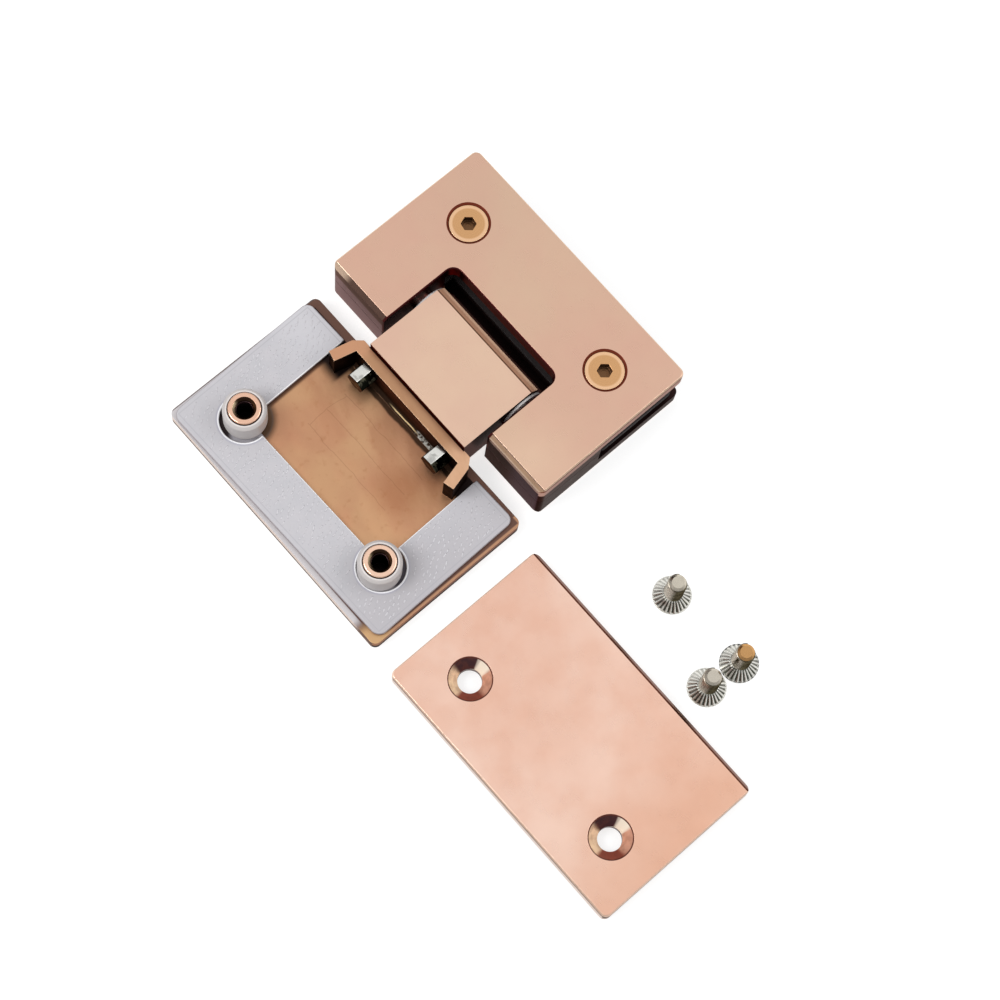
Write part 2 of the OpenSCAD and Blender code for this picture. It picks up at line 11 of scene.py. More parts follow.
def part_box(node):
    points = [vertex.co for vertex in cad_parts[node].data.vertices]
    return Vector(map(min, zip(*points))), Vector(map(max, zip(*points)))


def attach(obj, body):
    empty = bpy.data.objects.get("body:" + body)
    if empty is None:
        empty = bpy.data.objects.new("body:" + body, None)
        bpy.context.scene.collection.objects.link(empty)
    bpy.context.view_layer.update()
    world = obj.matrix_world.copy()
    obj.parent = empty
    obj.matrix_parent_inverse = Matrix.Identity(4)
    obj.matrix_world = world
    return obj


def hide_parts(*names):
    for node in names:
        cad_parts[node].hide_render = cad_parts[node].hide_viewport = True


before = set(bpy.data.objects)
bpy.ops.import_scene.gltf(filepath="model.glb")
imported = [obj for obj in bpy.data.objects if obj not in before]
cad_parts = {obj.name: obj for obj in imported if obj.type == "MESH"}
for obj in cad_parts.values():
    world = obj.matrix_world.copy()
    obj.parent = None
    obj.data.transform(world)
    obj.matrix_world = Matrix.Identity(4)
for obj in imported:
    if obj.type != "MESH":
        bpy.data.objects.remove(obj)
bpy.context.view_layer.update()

MM = 0.001

# Bodies of the hinge
FIXED = "fixed_leaf"
DOOR = "door_leaf"

# Camera, from the photograph's perspective, with its turn about its own axis
CAMERA_AT = Vector((-144.2, -165.39, 717.39)) * MM
CAMERA_AIM = Vector((28.58, -34.86, 0)) * MM
CAMERA_ROLL = math.radians(11.994)
CAMERA_LENS = 94.199

# Main and shared colours as the photograph shows them, in display values from 0 to 255. The
# smaller shades are named in their finishes.
GOLD = (228, 192, 166)
GOLD_BLUSH = (228, 184, 162)
BLOCK_GOLD = (238, 203, 177)
BLOCK_BLUSH = (234, 194, 172)
COVER_GOLD = (255, 220, 202)
COVER_BLUSH = (243, 195, 172)
# DEEP_BROWN to GREY_BROWN are painted shade and painted reflection on side faces, bevels and hollows
DEEP_BROWN = (42, 22, 22)
DARK_BROWN = (112, 86, 76)
RED_BROWN = (118, 64, 48)
MAUVE = (156, 128, 129)
BEIGE = (206, 168, 138)
PALE_BEIGE = (236, 204, 178)
GREY_BROWN = (150, 122, 110)
COPPER_FLOOR = (202, 157, 119)
COPPER_BLUSH = (190, 136, 106)
COPPER_STAIN = (146, 100, 72)
COPPER_WALL = (190, 145, 111)
COPPER_RING = (246, 202, 176)
GASKET_TOP = (187, 183, 187)
GASKET_SHADE = (170, 170, 175)
GASKET_FLECK = (198, 198, 202)
SLEEVE_BODY = (210, 204, 202)
NICKEL_BRIGHT = (232, 231, 224)
NICKEL_SHADE = (96, 94, 80)
WASHER_WHITE = (226, 222, 220)
WIRE_GREY = (150, 150, 152)
WIRE_SHADE = (96, 96, 98)
# Rubber of the door's gaskets, whose darkness is painted shade of the glass slot
RUBBER_PAINTED_SHADE = (44, 36, 36)
TIP_TONES = ((214, 206, 190), (210, 202, 188), (206, 158, 104))

# Tint of metal where it is seen at a flat angle
EDGE_TINT = (176, 168, 165)

# Turn of the loosely laid gasket in degrees, and how far its holes lie off the posts
GASKET_TURN = 1.2
GASKET_OFF_X = 0.2
GASKET_OFF_Y = 0.15

# Pitch of the threads of screws and posts
THREAD_PITCH = 1.0

# Distance of the cover's holes from its edge
COVER_HOLE_EDGE = 16.2

# Where painted shade and painted reflection start and end on the solids: the notch of the door
# plates, the end of the lower arm in painted shade, the painted shade beside the open leaf's
# posts, and its side's painted pale reflection, its end and foot
NOTCH_HALF = 23
NOTCH_END = 60.8
ARM_SHADE = -33
GAP_SHADE_X = -11.4
GAP_RADIUS = 7.8
PALE_END = -37
PALE_FOOT = 1.9

# Points closer than this are one, in metres, and angles from which faces count as one flat
# face, edges are rounded and edges stay sharp
SEAM = 0.002 * MM
FLAT_ANGLE = math.radians(0.4)
EDGE_ANGLE = math.radians(25)
SHARP_ANGLE = math.radians(30)

# Share of its normal along +Z below which a face counts as steep, and share along an axis
# above which it counts as facing that way
STEEP = 0.35
FACING = 0.4

# Directions across the floor from which the shiny hollows and turned parts are painted light
# and dark, as painted light and painted shade, in degrees from +X
DARK_FROM = 50
LIGHT_FROM = -41


def display(color):
    """The linear colour, with alpha, of a display colour from 0 to 255."""
    parts = [c / 255 for c in color]
    linear = [p / 12.92 if p <= 0.04045 else ((p + 0.055) / 1.055) ** 2.4 for p in parts]
    return (*linear, 1.0)


class Value:
    """An output socket of a node tree, on which Python's operators add Math nodes."""

    def __init__(self, tree, socket):
        self.tree = tree
        self.socket = socket

    def math(self, operation, *values):
        return self.tree.node("ShaderNodeMath", {"operation": operation}, values)

    def __add__(self, other):
        return self.math("ADD", self, other)

    def __radd__(self, other):
        return self.math("ADD", other, self)

    def __sub__(self, other):
        return self.math("SUBTRACT", self, other)

    def __rsub__(self, other):
        return self.math("SUBTRACT", other, self)

    def __mul__(self, other):
        return self.math("MULTIPLY", self, other)

    def __rmul__(self, other):
        return self.math("MULTIPLY", other, self)

    def __truediv__(self, other):
        return self.math("DIVIDE", self, other)

    def __rtruediv__(self, other):
        return self.math("DIVIDE", other, self)

    def __abs__(self):
        return self.math("ABSOLUTE", self)

    def __neg__(self):
        return self.math("MULTIPLY", self, -1.0)

    def root(self):
        return self.math("SQRT", self)

    def sine(self):
        return self.math("SINE", self)

    def highest(self, other):
        return self.math("MAXIMUM", self, other)

    def lowest(self, other):
        return self.math("MINIMUM", self, other)


class Tree:
    """A node tree that one method fills."""

    def __init__(self, tree):
        self.tree = tree

    def node(self, kind, settings=None, inputs=(), out=0):
        """Adds a node, its settings first, and gives each input a value or a link."""
        made = self.tree.nodes.new(kind)
        for name, value in (settings or {}).items():
            setattr(made, name, value)
        pairs = inputs.items() if isinstance(inputs, dict) else enumerate(inputs)
        for key, value in pairs:
            if isinstance(value, Value):
                self.tree.links.new(value.socket, made.inputs[key])
            else:
                made.inputs[key].default_value = value
        return Value(self, made.outputs[out]) if made.outputs else None


class Finish(Tree):
    """A material, with the coordinates and mixes that the finishes share."""

    def __init__(self, name):
        self.material = bpy.data.materials.new(name)
        self.material.use_nodes = True
        super().__init__(self.material.node_tree)
        self.tree.nodes.clear()
        self.place = self.node("ShaderNodeTexCoord", out="Object")
        facing = self.node("ShaderNodeTexCoord", out="Normal")
        self.x, self.y, self.z = (self.axis(self.place, a) * (1 / MM) for a in "XYZ")
        self.nx, self.ny, self.nz = (self.axis(facing, a) for a in "XYZ")

    def axis(self, vector, letter):
        return self.node("ShaderNodeSeparateXYZ", inputs=(vector,), out=letter)

    def span(self, value, low, high):
        """0 below low and 1 above high, with a smooth rise between."""
        settings = {"interpolation_type": "SMOOTHSTEP"}
        return self.node("ShaderNodeMapRange", settings, {0: value, 1: low, 2: high})

    def over(self, value, limit, soft=0.1):
        """1 where a value is over a limit, with a soft start."""
        return self.span(value, limit - soft, limit + soft)

    def under(self, value, limit, soft=0.1):
        """1 where a value is under a limit, with a soft end."""
        return 1 - self.over(value, limit, soft)

    def band(self, value, low, high, soft=0.1):
        """1 between two limits, with soft ends."""
        return self.over(value, low, soft) * self.under(value, high, soft)

    def slope(self):
        """1 where the surface is no level top."""
        return self.under(self.nz, 0.93, 0.04)

    def toward(self, degrees):
        """How far the surface faces a level direction, given in degrees from +X."""
        turn = math.radians(degrees)
        return self.nx * math.cos(turn) + self.ny * math.sin(turn)

    def from_holes(self, x, y, spacing, degrees=0):
        """Millimetres to the nearer of two upright axes, whose middle is at x and y."""
        across = self.along(degrees, x, y)
        along = abs(self.along(degrees + 90, x, y)) - spacing / 2
        return (across * across + along * along).root()

    def along(self, degrees, x, y):
        """Millimetres from x and y in a level direction, given in degrees from +X."""
        turn = math.radians(degrees)
        return (self.x - x) * math.cos(turn) + (self.y - y) * math.sin(turn)

    def spot(self, x, y):
        """Millimetres from an upright axis at x and y."""
        return self.from_holes(x, y, 0)

    def inside_edge(self, node, degrees=0):
        """Millimetres from the outer edges of a flat solid that is turned by degrees."""
        low, high = box_mm(node)
        mid, size = (low + high) / 2, (high - low) / 2
        cosine, sine = math.cos(math.radians(degrees)), math.sin(math.radians(degrees))
        spread = cosine * cosine - sine * sine
        wide = (size.x * cosine - size.y * sine) / spread
        long = (size.y * cosine - size.x * sine) / spread
        across = wide - abs(self.along(degrees, mid.x, mid.y))
        return across.lowest(long - abs(self.along(degrees + 90, mid.x, mid.y)))

    def around(self, x, y):
        """Angle round an upright axis at x and y, in radians from +X."""
        settings = {"operation": "ARCTAN2"}
        return self.node("ShaderNodeMath", settings, (self.y - y, self.x - x))

    def layers(self, color, *layers):
        """A colour with masked colours laid over it, the last on top."""
        for mask, over in layers:
            color = self.blend(mask, color, over)
        return color

    def noise(self, size, detail=3.0, stretch=(1, 1, 1), turn=0.0):
        """Noise whose lumps are about size millimetres across, times stretch."""
        scale = [1 / (size * MM * s) for s in stretch]
        inputs = {"Vector": self.place, "Rotation": (0, 0, turn), "Scale": scale}
        if turn:
            turned = self.node("ShaderNodeMapping", inputs={**inputs, "Scale": (1, 1, 1)})
            inputs = {"Vector": turned, "Scale": scale}
        where = self.node("ShaderNodeMapping", inputs=inputs)
        return self.node("ShaderNodeTexNoise", inputs={
            "Vector": where, "Scale": 1.0, "Detail": detail})

    def blend(self, amount, first, second):
        """Colour between first and second, which are display colours or links."""
        ends = [c if isinstance(c, Value) else display(c) for c in (first, second)]
        settings = {"data_type": "RGBA"}
        return self.node("ShaderNodeMix", settings, {0: amount, 6: ends[0], 7: ends[1]}, 2)

    def bump(self, height, depth, strength=1.0):
        """Normal of a relief that is depth millimetres deep."""
        return self.node("ShaderNodeBump", inputs={
            "Height": height, "Distance": depth * MM, "Strength": strength})

    def surface(self, **sockets):
        """Ends the material in a Principled shader with these sockets."""
        inputs = {name.replace("_", " "): value for name, value in sockets.items()}
        shader = self.node("ShaderNodeBsdfPrincipled", inputs=inputs)
        self.node("ShaderNodeOutputMaterial", inputs={"Surface": shader})
        return self.material


def box_mm(node):
    """Lowest and highest corner of a solid, in millimetres."""
    low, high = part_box(node)
    return low / MM, high / MM


def middle(node):
    """Middle of a solid's box, in millimetres."""
    low, high = box_mm(node)
    return (low + high) / 2


def gold_face(f, gold, blush):
    """Colour of a broad plated face, with soft bands and clouds of a pinker tone."""
    bands = f.span(f.noise(34, detail=2, stretch=(1, 1.7, 1), turn=0.7), 0.38, 0.62)
    clouds = f.span(f.noise(9), 0.35, 0.7)
    return f.blend(0.7 * bands + 0.3 * clouds, gold, blush)


def gold_shine(f, color, painted_flat=0.0):
    """Ends a material in satin plating of this colour, less metallic where shade and reflection are
    painted.
    """
    grain = f.noise(0.18, detail=2, stretch=(1, 14, 1))
    haze = f.noise(4)
    return f.surface(
        Base_Color=color, Metallic=1.0 - painted_flat, Roughness=0.22 + 0.1 * haze + 0.04 * grain,
        Specular_Tint=display(EDGE_TINT), Normal=f.bump(grain + 0.5 * haze, 0.004, 0.35))


def in_notch(f):
    """1 inside the outline of the door plates' notch."""
    return f.under(abs(f.y), NOTCH_HALF) * f.under(f.x, NOTCH_END)


def front_gold():
    """Front plate of the door leaf, with painted shade in its notch and countersinks."""
    f = Finish("front_rose_gold")
    warm_gold, cool_gold = (240, 206, 178), (218, 182, 158)
    pale_rose, dull_rose = (220, 188, 172), (206, 166, 152)
    dusk, notch_red, sink_red = (84, 68, 78), (84, 36, 36), (110, 46, 28)
    hairline, bevel_foot, corner_reach, sink_radius = 0.25, 1.1, 6, 6.5
    pale_depth, brown_depth, red_depth, dark_depth = 3.3, 5.5, 1.6, 5
    high = box_mm("door_front_plate")[1]
    screw = middle("door_screw_upper")
    in_sink = f.under(f.from_holes(screw.x, 0, 2 * screw.y), sink_radius)
    drop = high.z - f.z
    upper = f.over(f.y, 0)
    slope = f.slope()
    side = f.under(f.nz, STEEP)
    pivot = f.over(-f.nx, FACING)
    front = f.over(-f.ny, FACING)
    warm_corner = f.under(f.spot(38, -36), 8, 14)
    cool_corner = f.under(f.spot(78, 32), 6, 22)
    # Painted reflection and painted shade on the bevels, side faces and undersides
    lower_bevel = f.layers(
        BEIGE, (f.under(drop, hairline, 0.1), GREY_BROWN),
        (f.over(drop, bevel_foot, 0.15), PALE_BEIGE))
    upper_bevel = f.layers(
        DARK_BROWN, (f.over(f.y, high.y - corner_reach, 2), PALE_BEIGE))
    lower_side = f.layers(
        dusk, (f.over(f.y, ARM_SHADE, 3), DEEP_BROWN), (f.under(drop, pale_depth), pale_rose))
    upper_side = f.blend(f.under(drop, brown_depth), MAUVE, DARK_BROWN)
    front_side = f.layers(
        dull_rose, (f.under(drop, red_depth, 0.4), RED_BROWN),
        (f.over(drop, dark_depth), DEEP_BROWN))
    color = f.layers(
        gold_face(f, GOLD, GOLD_BLUSH),
        (0.8 * warm_corner, warm_gold),
        (0.6 * cool_corner, cool_gold),
        (slope, PALE_BEIGE),
        (slope * pivot, f.blend(upper, lower_bevel, upper_bevel)),
        (side, GREY_BROWN),
        (side * pivot, f.blend(upper, lower_side, upper_side)),
        (side * front, front_side),
        (f.under(f.nz, -FACING), DARK_BROWN),
        (slope * in_notch(f), notch_red),
        (in_sink * f.under(f.nz, 0.96, 0.02), sink_red))
    return gold_shine(f, color, 0.6 * in_sink)


def back_gold():
    """Back plate of the door leaf, with painted shade in its glass slot and on its side faces."""
    f = Finish("back_rose_gold")
    slot_dark, foot_dark = (46, 31, 30), (34, 25, 27)
    dusk, near_grey = (84, 68, 76), (84, 76, 78)
    foot = f.under(f.z, 0.8, 0.2)
    side = f.under(abs(f.nz), FACING)
    # Painted shade on the side faces, darkest at the foot and in the notch, and a painted mauve
    # reflection on the upper arm's pivot side
    pivot_side = f.layers(
        dusk, (f.over(f.y, ARM_SHADE, 3), DEEP_BROWN), (f.over(f.y, 0), MAUVE))
    color = f.layers(
        gold_face(f, GOLD, GOLD_BLUSH),
        (f.over(f.nz, 0), slot_dark),
        (side, DARK_BROWN),
        (side * f.over(-f.nx, FACING), pivot_side),
        (side * f.over(-f.ny, FACING), f.blend(foot, foot_dark, near_grey)),
        (side * in_notch(f), DEEP_BROWN))
    return gold_shine(f, color)


def block_gold():
    """Pivot block, with painted shade on its sides and a painted copper reflection on its nose."""
    f = Finish("block_rose_gold")
    side_red, nose_reflection, nose_highlight = (70, 32, 30), (206, 156, 126), (232, 188, 156)
    nose_line, nose_end = (110, 70, 52), (84, 50, 38)
    nose_length, line_width, light_from = 2.85, 0.5, 1.9
    past_flat = f.x - (box_mm("pivot_block")[1].x - nose_length)
    level = f.over(abs(f.nz), 0.94, 0.03)
    nose = f.over(f.nx, FACING)
    end = f.over(f.nx, 0.9, 0.05)
    # The nose's tones are a painted reflection, with a dark line where it leaves the flat top; its
    # end and the sides are painted shade, the rounded top edges a painted highlight
    nose_tone = f.layers(
        nose_reflection, (f.under(past_flat, line_width, 0.2), nose_line),
        (f.over(past_flat, light_from, 0.3), nose_highlight))
    color = f.layers(
        side_red,
        (nose, nose_tone),
        (end, nose_end),
        (f.over(abs(f.nz), 0.55) * f.under(f.nx, 0.3), PALE_BEIGE),
        (level, gold_face(f, BLOCK_GOLD, BLOCK_BLUSH)))
    return gold_shine(f, color, 0.75 * f.band(f.nx, FACING, 0.9) * (1 - level))


def cover_cone(f, hole):
    """Colour of the cover's countersinks: painted light and shade in sectors, and a painted glint."""
    cone_red, cone_rose, cone_light = (146, 76, 60), (222, 164, 138), (250, 218, 182)
    cone_dark, streak_red = (66, 42, 44), (110, 62, 50)
    glint_white, rim_red, rim_start = (255, 240, 220), (96, 50, 40), 6.1
    toward_light = f.toward(LIGHT_FROM)
    light_sides = f.over(abs(toward_light), 0.46, 0.1)
    dark_top = f.over(f.toward(DARK_FROM + 180), 0.42, 0.12)
    glint = f.over(f.toward(DARK_FROM + 135), 0.66, 0.03)
    streaks = f.span(f.noise(2.2, detail=2), 0.4, 0.65)
    return f.layers(
        cone_red,
        (light_sides, cone_rose),
        (light_sides * f.over(toward_light, 0), cone_light),
        (dark_top, cone_dark),
        (0.3 * streaks, streak_red),
        (glint, glint_white),
        (f.over(hole, rim_start, 0.1), rim_red))


def cover_gold():
    """Cover plate: painted shade in countersinks, painted pale reflection on sides away from the
    pivot.
    """
    f = Finish("cover_rose_gold")
    near_gold, bevel_rose, bevel_red = (232, 178, 148), (244, 210, 188), (92, 50, 36)
    bevel_grey, bore_red = (150, 124, 116), (86, 46, 36)
    top_line, pale_side = (150, 128, 116), (252, 230, 216)
    near_brown, near_pale = (112, 90, 76), (238, 218, 204)
    sink_radius, bore_radius, pale_from = 6.7, 3.8, 7
    line_depth, near_depth, bevel_width, red_width = 1.7, 3.2, 1.4, 0.6
    near_reach, near_soft = 14, 26
    low, high = box_mm("cover_plate")
    post_spacing = 2 * middle("fixed_post_upper").y
    hole = f.from_holes(low.x + COVER_HOLE_EDGE, (low.y + high.y) / 2, post_spacing)
    slope = f.slope()
    side = f.under(f.nz, STEEP)
    pivot = f.over(f.nx, FACING)
    drop = high.z - f.z
    across_bevel = f.x - (high.x - bevel_width)
    pivot_bevel = f.blend(f.over(across_bevel, red_width, 0.12), bevel_red, bevel_grey)
    in_cone = f.under(hole, sink_radius) * slope
    # Painted reflection and painted shade on the bevels and sides, and painted shade in the bores
    color = f.layers(
        gold_face(f, COVER_GOLD, COVER_BLUSH),
        (0.7 * f.under(f.y, low.y + near_reach, near_soft), near_gold),
        (slope, bevel_rose),
        (slope * pivot, pivot_bevel),
        (side, f.blend(f.over(drop, line_depth), top_line, pale_side)),
        (side * f.over(-f.ny, FACING), f.blend(f.over(drop, near_depth), near_brown, near_pale)),
        (side * pivot, GREY_BROWN),
        (in_cone, cover_cone(f, hole)),
        (f.under(hole, bore_radius) * side, bore_red),
        (f.under(f.nz, -FACING), COPPER_FLOOR))
    # Less metallic in the cones and on the sides' painted pale reflection, so the painted colour
    # shows
    outside = f.under(f.nz, 0.97, 0.02) * f.over(f.nz, -FACING) * f.over(hole, pale_from)
    lower = f.over(drop, line_depth) * f.under(-f.ny, FACING)
    pale = outside * (1 - pivot) * lower.highest(f.over(f.ny, 0.2))
    return gold_shine(f, color, 0.65 * in_cone.highest(pale))


def screw_gold():
    """Door screws: turned heads, a painted highlight on the rim, painted shade in socket and sides.
    """
    f = Finish("screw_rose_gold")
    face_gold, ring_gold, rim_gold = (222, 172, 122), (206, 152, 104), (246, 200, 158)
    side_red, wall_light, wall_dark = (110, 46, 26), (150, 112, 76), (44, 20, 14)
    floor_gold = (116, 84, 58)
    socket_reach, rim_start, floor_depth, radians_per_mm = 2.6, 4.7, 2.3, 9
    high = box_mm("door_screw_upper")[1]
    screw = middle("door_screw_upper")
    out = f.from_holes(screw.x, 0, 2 * screw.y)
    in_socket = f.under(out, socket_reach)
    drop = high.z - f.z
    turned = 0.5 + 0.5 * (out * radians_per_mm).sine()
    face = f.layers(
        face_gold, (0.35 * turned, ring_gold), (f.over(out, rim_start, 0.3), rim_gold))
    # Socket walls in painted light and painted shade by direction
    wall = f.blend(f.over(f.toward(DARK_FROM + 180), -0.2, 0.5), wall_light, wall_dark)
    color = f.layers(
        face,
        (f.under(f.nz, 0.5) * f.over(out, 3), side_red),
        (f.over(drop, 0.25, 0.1) * in_socket, wall),
        (f.over(drop, floor_depth) * f.over(f.nz, 0.8) * in_socket, floor_gold))
    return f.surface(
        Base_Color=color, Metallic=1.0, Roughness=0.24 + 0.1 * turned,
        Normal=f.bump(turned, 0.02, 0.35))


def hole_gap(f, post):
    """Tone of the leaf between its sleeves and the gasket: grey, with painted shade on one side."""
    gap_grey, upper_dark, lower_dark = (170, 167, 173), (44, 34, 36), (84, 80, 88)
    dark_from = 4.2
    left = f.along(LIGHT_FROM + 180, post.x, post.y) * f.over(f.y, 0)
    right = f.along(LIGHT_FROM, post.x, -post.y) * f.under(f.y, 0)
    dark_side = f.over(left.highest(right), dark_from, 1)
    dark = f.blend(f.over(f.y, 0), lower_dark, upper_dark)
    return f.blend(dark_side, gap_grey, dark)


def recess_floor(f, post, hole, streaks, spots, wobble):
    """Colour of the open leaf's floor: blush, stains, tool lines and painted deep shade."""
    spot_tan, stain_brown, far_rose = (170, 118, 80), (160, 104, 70), (184, 130, 102)
    line_brown, gasket_shade, wall_shade = (132, 88, 62), (76, 48, 38), (46, 32, 24)
    post_shade, leg_shadow = (92, 70, 54), (34, 25, 24)
    lines_at, lines_apart, cross_line_at, lines_end = 8.4, 7, 17.8, 17
    line_width, gasket_edge, wall_foot = 0.08, 27.6, 21.1
    blush = f.span(f.noise(13), 0.35, 0.7)
    strip = abs(f.x - lines_at + wobble)
    both_lines = strip.lowest(abs(strip - lines_apart))
    along = f.under(both_lines, line_width, 0.14) * f.under(abs(f.y), lines_end)
    cross_line = abs(f.y - cross_line_at + wobble + 0.12 * strip)
    across = f.under(cross_line, line_width, 0.14) * f.under(strip, lines_apart)
    stain = f.under(f.spot(7.5, -15.5), 7, 5).highest(f.under(f.spot(17, -21), 5, 4))
    beside_wall = f.over(f.x + wobble, wall_foot, 0.4) * f.under(abs(f.y), 22, 2)
    beside_post = f.under(hole, 8.6, 1.4) * f.over(f.x, GAP_SHADE_X) * f.over(f.y, 0)
    return f.layers(
        COPPER_FLOOR,
        (0.6 * blush, COPPER_BLUSH),
        (0.3 * streaks * f.over(f.x, 4, 8), COPPER_STAIN),
        (0.35 * spots, spot_tan),
        (0.5 * stain, stain_brown),
        (0.5 * f.under(f.spot(-7, 22), 7, 5), far_rose),
        (0.4 * along.highest(across), line_brown),
        (0.85 * f.over(f.along(GASKET_TURN + 90, 0, 0), gasket_edge, 0.5), gasket_shade),
        (0.9 * beside_wall, wall_shade),
        (f.under(hole, GAP_RADIUS, 0.4), hole_gap(f, post)),
        (beside_post, post_shade),
        # Painted shadow on the floor by the wall's legs
        (f.over(f.y, 21.6, 0.6) * f.over(f.x, 15, 2), leg_shadow),
        (f.under(f.y, -23, 0.6) * f.over(f.x, 18, 1), leg_shadow))


def leaf_wall(f, streaks, spots, wobble):
    """Colours of the open leaf's upright wall: sides and foot in painted shade, painted highlights on
    foot and top.
    """
    side_brown, side_spots, side_shade = (66, 44, 34), (104, 76, 56), (42, 28, 21)
    leg_dark, back_brown, foot_brown = (26, 17, 13), (70, 46, 34), (48, 34, 25)
    glint_copper, rough_grey = (240, 214, 164), (186, 186, 180)
    far_top, near_top = (206, 154, 120), (220, 176, 142)
    edge_highlight, seam_dark = (240, 202, 168), (52, 26, 18)
    # Sides in painted shade, darkest at the legs and on the back
    sides = f.layers(
        side_brown,
        (0.5 * spots, side_spots),
        (f.over(abs(f.y), 11, 3), side_shade),
        (f.over(abs(f.y), 19.5, 0.8), leg_dark),
        (f.over(f.nx, 0.3), back_brown))
    # A painted highlight along the middle of the foot, and a rough grey patch beside it
    foot_glint = f.band(f.y, -5, 5, 2) * f.band(f.x + 0.3 * wobble, 22.35, 22.6, 0.12)
    rough = f.band(f.y, -12, -5.5, 0.8) * f.span(f.noise(1.4, detail=4), 0.42, 0.6)
    foot = f.layers(foot_brown, (foot_glint, glint_copper), (rough, rough_grey))
    seam = f.over(f.x, box_mm("pivot_block")[0].x - 0.35, 0.06) * f.under(abs(f.y), 20.4)
    top = f.layers(
        COPPER_WALL,
        (f.over(f.y, 19, 2), far_top),
        (f.under(f.y, -17, 3), near_top),
        (0.25 * streaks, COPPER_STAIN),
        (f.band(f.nz, 0.6, 0.96, 0.04), edge_highlight),
        (seam, seam_dark))
    return sides, foot, top


def leaf_edges(f, low, high, edge, outer):
    """Colours of the open leaf's rim and its plate's low side faces: painted shade and reflection."""
    rim_brown, rim_grey, far_line = (112, 84, 74), (198, 194, 196), (112, 100, 98)
    near_line, near_corner = (186, 142, 112), (208, 168, 124)
    near_copper, near_brown, near_foot = (176, 130, 102), (152, 108, 90), (24, 14, 12)
    pale_side, foot_grey, side_brown = (236, 216, 204), (92, 78, 72), (124, 98, 86)
    before_corner = f.over(f.y, PALE_END, 2)
    rim = f.layers(
        rim_brown,
        (outer * before_corner, rim_grey),
        (f.over(f.y, high.y - 0.35), far_line),
        (f.under(f.y, low.y + 3) * f.under(edge, 0.75, 0.2), near_line),
        (f.under(f.y, low.y + 6, 2) * f.under(f.x, low.x + 6, 2), near_corner))
    near_side = f.layers(
        near_copper, (f.over(f.x, -15, 6), near_brown), (f.under(f.z, 2.4, 0.4), near_foot))
    left_side = f.blend(f.under(f.z, PALE_FOOT), pale_side, foot_grey)
    sides = f.layers(
        side_brown, (f.over(-f.nx, 0.3) * before_corner, left_side),
        (f.over(-f.ny, FACING), near_side))
    return rim, sides


def leaf_copper():
    """Open leaf in satin copper: stained floor, tool lines, and painted shade in hollows and on
    edges.
    """
    f = Finish("leaf_copper")
    rim_width, plate_top, foot_top, wall_start = 1.6, 4.9, 7, 25
    low, high = box_mm("fixed_base_plate")
    post = middle("fixed_post_upper")
    hole = f.from_holes(post.x, 0, 2 * post.y)
    streaks = f.span(f.noise(8, detail=4, stretch=(0.8, 2, 1), turn=0.35), 0.42, 0.7)
    spots = f.span(f.noise(2.4, detail=4), 0.55, 0.75)
    wobble = 1.6 * f.noise(6)
    edge = f.inside_edge("fixed_base_plate")
    far_rim = f.over(f.y, high.y - rim_width, 0.2) * f.under(f.x, 22.5, 0.5)
    outer = far_rim.highest(f.under(f.x, low.x + rim_width, 0.2))
    rim, plate_sides = leaf_edges(f, low, high, edge, outer)
    wall_sides, wall_foot, wall_top = leaf_wall(f, streaks, spots, wobble)
    over_floor = f.over(f.z, 5.05, 0.04)
    tilted = f.band(f.nz, 0.3, 0.93)
    near_edge = f.under(edge, 2.5)
    color = f.layers(
        recess_floor(f, post, hole, streaks, spots, wobble),
        (near_edge.highest(f.over(f.x, wall_start)), rim),
        (over_floor, wall_sides),
        (over_floor * tilted * f.under(f.z, foot_top), wall_foot),
        (f.over(f.z, high.z - 1) * f.over(f.nz, 0.5), wall_top),
        (f.under(f.z, plate_top, 0.05), plate_sides),
        (f.under(f.nz, -0.5), COPPER_FLOOR))
    grain = f.noise(0.25, stretch=(1, 6, 1))
    pale = near_edge * outer * f.over(f.y, PALE_END, 2) * f.over(f.z, PALE_FOOT)
    in_gap = f.under(hole, GAP_RADIUS) * f.under(f.x, GAP_SHADE_X).highest(f.under(f.y, 0))
    # Less metallic on the side's painted pale reflection and the painted gap tone, so the painted
    # colour shows
    return f.surface(
        Base_Color=color, Metallic=0.9 - 0.65 * pale.highest(in_gap),
        Roughness=0.34 + 0.14 * streaks + 0.08 * grain,
        Specular_Tint=display(EDGE_TINT), Normal=f.bump(grain + spots, 0.012, 0.4))


